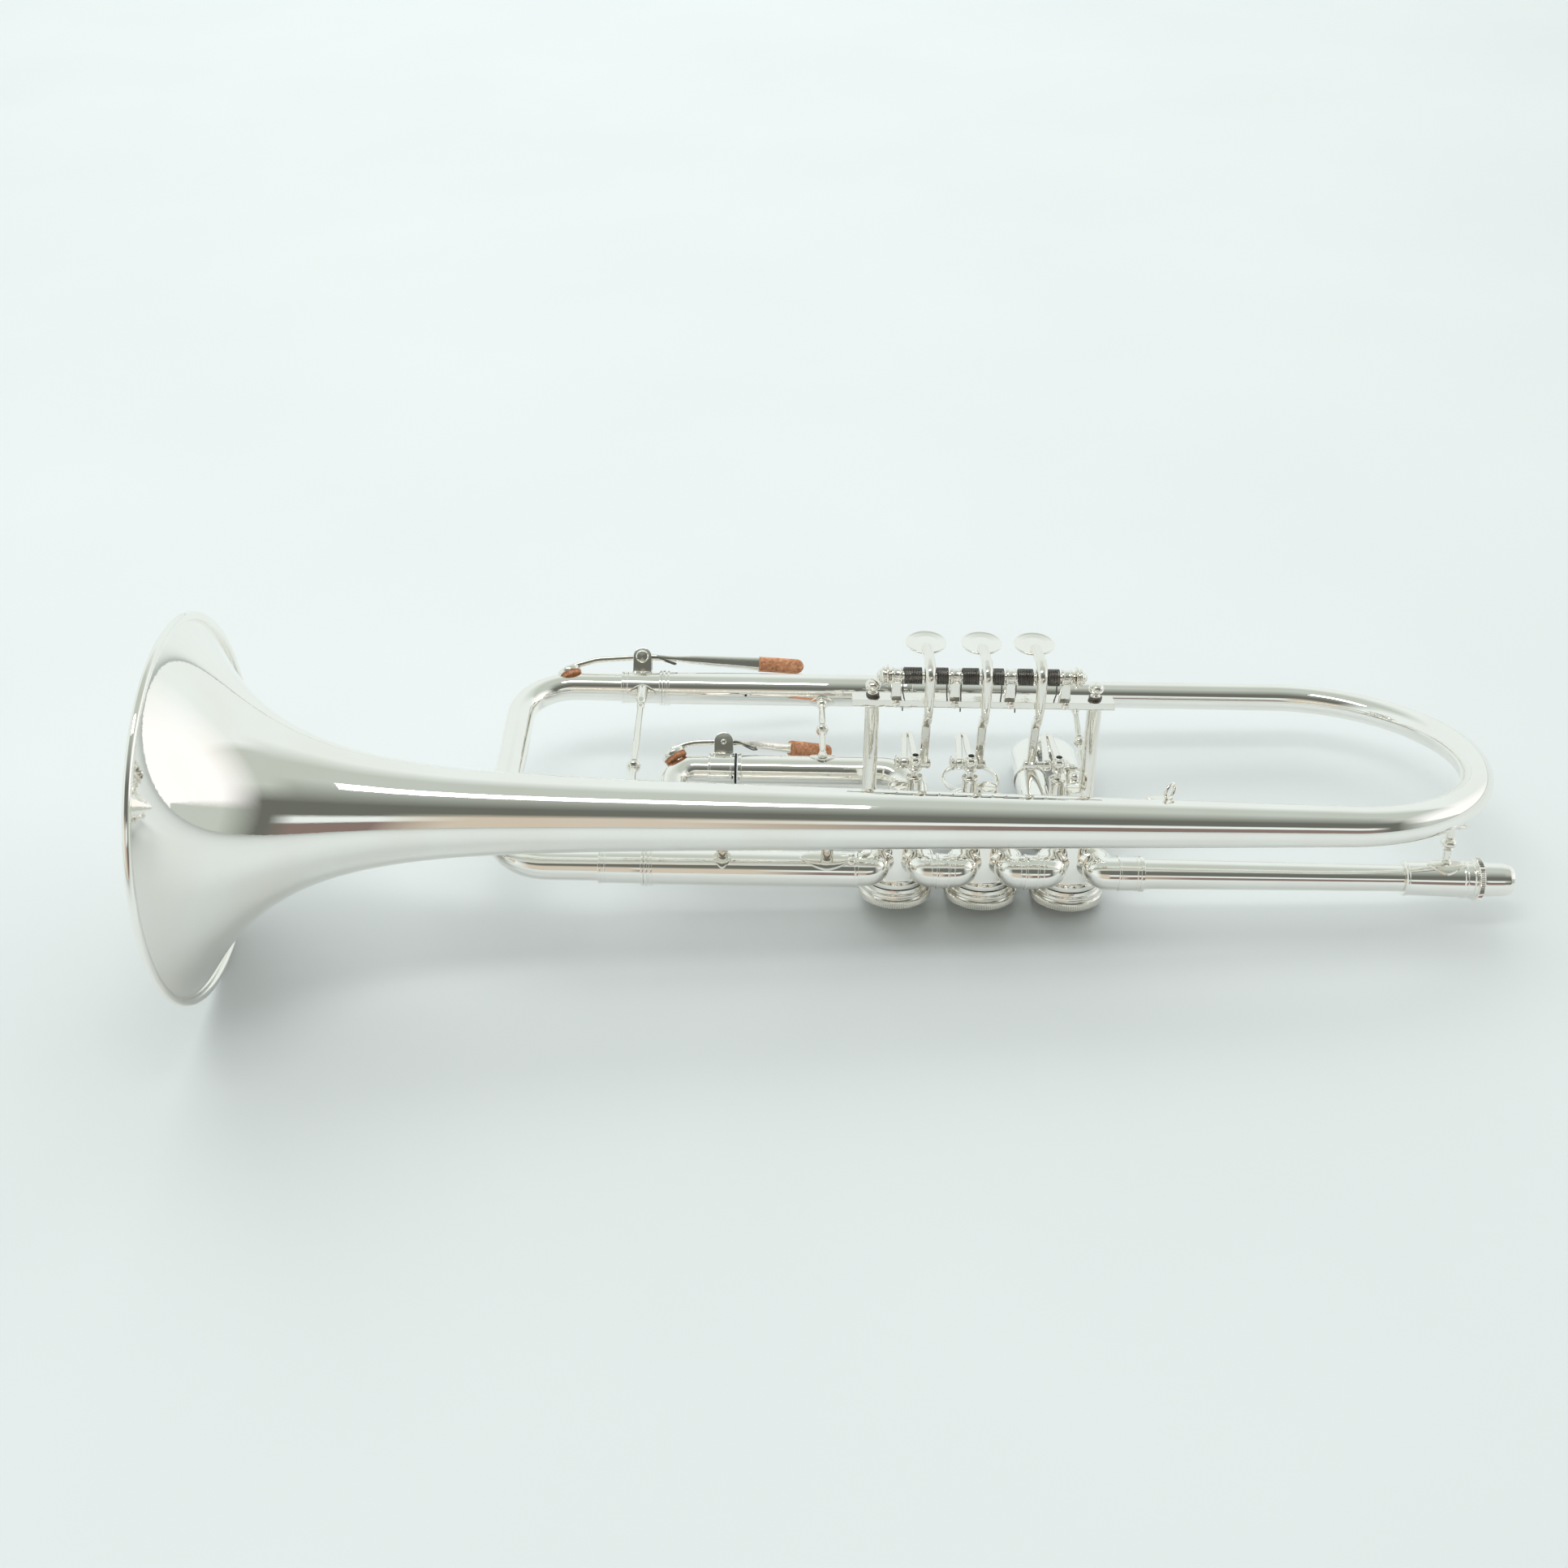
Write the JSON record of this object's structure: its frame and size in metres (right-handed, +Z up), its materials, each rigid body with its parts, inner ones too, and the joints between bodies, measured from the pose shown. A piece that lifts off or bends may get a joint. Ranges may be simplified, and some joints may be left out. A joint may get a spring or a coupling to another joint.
{
  "type": "rotary flugelhorn",
  "caption": "Rotary-valve flugelhorn lying on its side: flared bell, tube loop, tuning slide, water keys and finger levers.",
  "frame": {"origin": "centre of the bounding box's underside, on the table the horn lies on", "axes": "+X along the bell axis from the bell mouth towards the mouthpiece receiver, +Y towards the upper tube, +Z up from the table"},
  "size_m": [0.483, 0.2118, 0.1399],
  "materials": {
    "silver": "polished",
    "rotor_brass": "satin",
    "spring_steel": "satin",
    "cork": "matte",
    "bumper": "matte"
  },
  "bodies": {
    "horn": {"bell_flare": "silver", "bell_tail": "silver", "bell_bow": "silver", "upper_tube": "silver", "leadpipe": "silver", "mouthpiece_receiver": "silver", "rotor_casing_1": "silver", "rotor_casing_2": "silver", "rotor_casing_3": "silver", "bottom_cap_1": "silver", "bottom_cap_2": "silver", "bottom_cap_3": "silver", "bearing_plates": "rotor_brass", "stop_plates": "silver", "stop_corks": "bumper", "valve_bridges": "silver", "valve_elbows": "silver", "valve_ferrules": "silver", "main_slide_tube_upper": "silver", "main_slide_tube_lower": "silver", "first_slide_tubes": "silver", "second_slide_tubes": "silver", "third_slide_tubes": "silver", "mechanism_plate": "silver", "mechanism_pillars": "silver", "pillar_screws": "silver", "hinge_posts": "silver", "hinge_rod": "silver", "lever_springs": "spring_steel", "slide_braces": "silver", "receiver_brace": "silver", "bell_stays": "silver", "bell_hook": "silver"},
    "tuning_slide": {"tuning_crook": "silver", "tuning_slide_legs": "silver", "tuning_slide_ferrules": "silver", "crook_brace": "silver", "main_key_saddle": "silver"},
    "main_water_key": {"main_key_arm": "silver", "main_key_corks": "cork", "main_key_spring": "spring_steel"},
    "first_valve_slide": {"first_slide": "silver"},
    "second_valve_slide": {"second_slide": "silver"},
    "third_valve_slide": {"third_slide": "silver", "third_key_saddle": "silver"},
    "third_water_key": {"third_key_arm": "silver", "third_key_corks": "cork", "third_key_spring": "spring_steel"},
    "lever_1": {"lever_1": "silver"},
    "link_1": {"link_1": "silver"},
    "rotor_1": {"rotor_1": "rotor_brass", "stop_arm_1": "silver"},
    "lever_2": {"lever_2": "silver"},
    "link_2": {"link_2": "silver"},
    "rotor_2": {"rotor_2": "rotor_brass", "stop_arm_2": "silver"},
    "lever_3": {"lever_3": "silver"},
    "link_3": {"link_3": "silver"},
    "rotor_3": {"rotor_3": "rotor_brass", "stop_arm_3": "silver"}
  },
  "joints": [
    {"name": "tuning_slide_travel", "type": "slide", "parent": "horn", "child": "tuning_slide", "axis": [-0.9991, 0, 0.0427], "range_m": [0, 0.05]},
    {"name": "main_water_key_hinge", "type": "hinge", "parent": "tuning_slide", "child": "main_water_key", "pos_m": [-0.08892, 0.09378, 0.04592], "axis": [-0.0275, 0.7655, -0.6429], "range_deg": [0, 4.5], "stiffness_Nm_per_rad": 0.05, "springref_deg": -34.38},
    {"name": "first_slide_travel", "type": "slide", "parent": "horn", "child": "first_valve_slide", "axis": [-0.0075, 0.9847, -0.1743], "range_m": [0, 0.025]},
    {"name": "second_slide_travel", "type": "slide", "parent": "horn", "child": "second_valve_slide", "axis": [-0.0075, 0.9847, -0.1743], "range_m": [0, 0.01]},
    {"name": "third_slide_travel", "type": "slide", "parent": "horn", "child": "third_valve_slide", "axis": [-0.9991, 0, 0.0427], "range_m": [0, 0.006]},
    {"name": "third_water_key_hinge", "type": "hinge", "parent": "third_valve_slide", "child": "third_water_key", "pos_m": [-0.05383, 0.04631, 0.03555], "axis": [-0.0275, 0.7655, -0.6429], "range_deg": [0, 4.5], "stiffness_Nm_per_rad": 0.05, "springref_deg": -34.38},
    {"name": "lever_1_hinge", "type": "hinge", "parent": "horn", "child": "lever_1", "pos_m": [0.06557, 0.00835, 0.08911], "axis": [-0.9991, 0, 0.0427], "range_deg": [0, 17.81], "stiffness_Nm_per_rad": 0.06, "springref_deg": -40.11},
    {"name": "link_1_pin", "type": "hinge", "parent": "lever_1", "child": "link_1", "pos_m": [0.07001, 0.00758, 0.05013], "axis": [-0.9991, 0, 0.0427], "range_deg": [-17.81, 0]},
    {"name": "rotor_1_turn", "type": "hinge", "parent": "horn", "child": "rotor_1", "pos_m": [0.07848, -0.00866, 0.02114], "axis": [0.0421, 0.1745, 0.9838], "range_deg": [0, 90]},
    {"name": "lever_2_hinge", "type": "hinge", "parent": "horn", "child": "lever_2", "pos_m": [0.04589, 0.00835, 0.08996], "axis": [-0.9991, 0, 0.0427], "range_deg": [0, 17.81], "stiffness_Nm_per_rad": 0.06, "springref_deg": -40.11},
    {"name": "link_2_pin", "type": "hinge", "parent": "lever_2", "child": "link_2", "pos_m": [0.03724, 0.00758, 0.05153], "axis": [-0.9991, 0, 0.0427], "range_deg": [-17.81, 0]},
    {"name": "rotor_2_turn", "type": "hinge", "parent": "horn", "child": "rotor_2", "pos_m": [0.04571, -0.00866, 0.02254], "axis": [0.0421, 0.1745, 0.9838], "range_deg": [0, 90]},
    {"name": "lever_3_hinge", "type": "hinge", "parent": "horn", "child": "lever_3", "pos_m": [0.02521, 0.00835, 0.09084], "axis": [-0.9991, 0, 0.0427], "range_deg": [0, 17.81], "stiffness_Nm_per_rad": 0.06, "springref_deg": -40.11},
    {"name": "link_3_pin", "type": "hinge", "parent": "lever_3", "child": "link_3", "pos_m": [0.01646, 0.00758, 0.05242], "axis": [-0.9991, 0, 0.0427], "range_deg": [-17.81, 0]},
    {"name": "rotor_3_turn", "type": "hinge", "parent": "horn", "child": "rotor_3", "pos_m": [0.01294, -0.00866, 0.02394], "axis": [-0.0421, -0.1745, -0.9838], "range_deg": [0, 90]}
  ],
  "couplings": [
    {"joint": "link_1_pin", "follows": "lever_1_hinge", "ratio": -1},
    {"joint": "rotor_1_turn", "follows": "lever_1_hinge", "ratio": 5.053},
    {"joint": "link_2_pin", "follows": "lever_2_hinge", "ratio": -1},
    {"joint": "rotor_2_turn", "follows": "lever_2_hinge", "ratio": 5.053},
    {"joint": "link_3_pin", "follows": "lever_3_hinge", "ratio": -1},
    {"joint": "rotor_3_turn", "follows": "lever_3_hinge", "ratio": 5.053}
  ]
}
